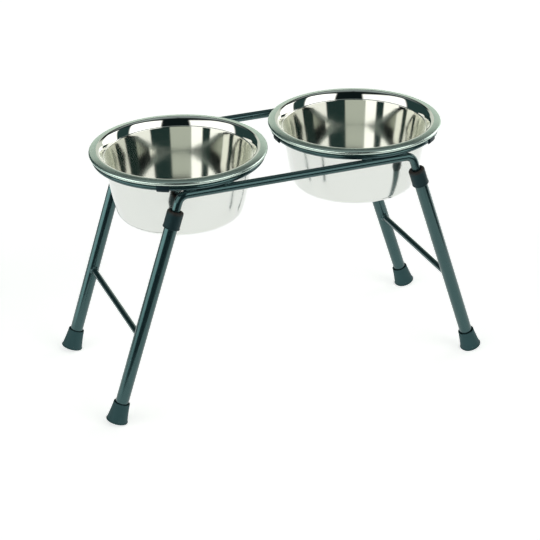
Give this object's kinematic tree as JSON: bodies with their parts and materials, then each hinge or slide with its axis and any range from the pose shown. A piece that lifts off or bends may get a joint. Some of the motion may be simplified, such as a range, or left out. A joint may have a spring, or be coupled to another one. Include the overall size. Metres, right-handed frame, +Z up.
{
  "type": "dog feeder stand",
  "caption": "Raised dog feeder: lift-out steel bowls in wire rings on a painted rod frame, with splayed push-on tube legs, plastic collars and rubber feet.",
  "frame": {"origin": "on the floor, under the middle of the stand", "axes": "+X along the two bowls, -Y towards the front, +Z up"},
  "size_m": [0.4916, 0.2196, 0.2951],
  "materials": {
    "frame_paint": "semi-gloss dark teal-black enamel",
    "black_plastic": "moulded black plastic with a soft sheen",
    "foot_rubber": "matte dark teal-grey rubber",
    "bowl_steel": "polished inside, satin outside and on the rim"
  },
  "bodies": {
    "top_frame": {"front_rail": "frame_paint", "rear_rail": "frame_paint", "left_ring": "frame_paint", "right_ring": "frame_paint", "left_ring_welds": "frame_paint", "right_ring_welds": "frame_paint", "left_clip_1": "black_plastic", "left_clip_2": "black_plastic", "left_clip_3": "black_plastic", "right_clip_1": "black_plastic", "right_clip_2": "black_plastic", "right_clip_3": "black_plastic"},
    "left_leg_frame": {"left_front_leg": "frame_paint", "left_front_collar": "black_plastic", "left_front_foot": "foot_rubber", "left_rear_leg": "frame_paint", "left_rear_collar": "black_plastic", "left_rear_foot": "foot_rubber", "left_crossbar": "frame_paint", "left_crossbar_welds": "frame_paint"},
    "right_leg_frame": {"right_front_leg": "frame_paint", "right_front_collar": "black_plastic", "right_front_foot": "foot_rubber", "right_rear_leg": "frame_paint", "right_rear_collar": "black_plastic", "right_rear_foot": "foot_rubber", "right_crossbar": "frame_paint", "right_crossbar_welds": "frame_paint"},
    "left_bowl": {"left_bowl": "bowl_steel"},
    "right_bowl": {"right_bowl": "bowl_steel"}
  },
  "joints": [
    {"name": "left_bowl_lift", "type": "slide", "parent": "top_frame", "child": "left_bowl", "axis": [0, 0, 1], "range_m": [0, 0.12]},
    {"name": "right_bowl_lift", "type": "slide", "parent": "top_frame", "child": "right_bowl", "axis": [0, 0, 1], "range_m": [0, 0.12]},
    {"name": "left_leg_pull", "type": "slide", "parent": "top_frame", "child": "left_leg_frame", "axis": [-0.309, 0, -0.9511], "range_m": [0, 0.06]},
    {"name": "right_leg_pull", "type": "slide", "parent": "top_frame", "child": "right_leg_frame", "axis": [0.309, 0, -0.9511], "range_m": [0, 0.06]}
  ]
}
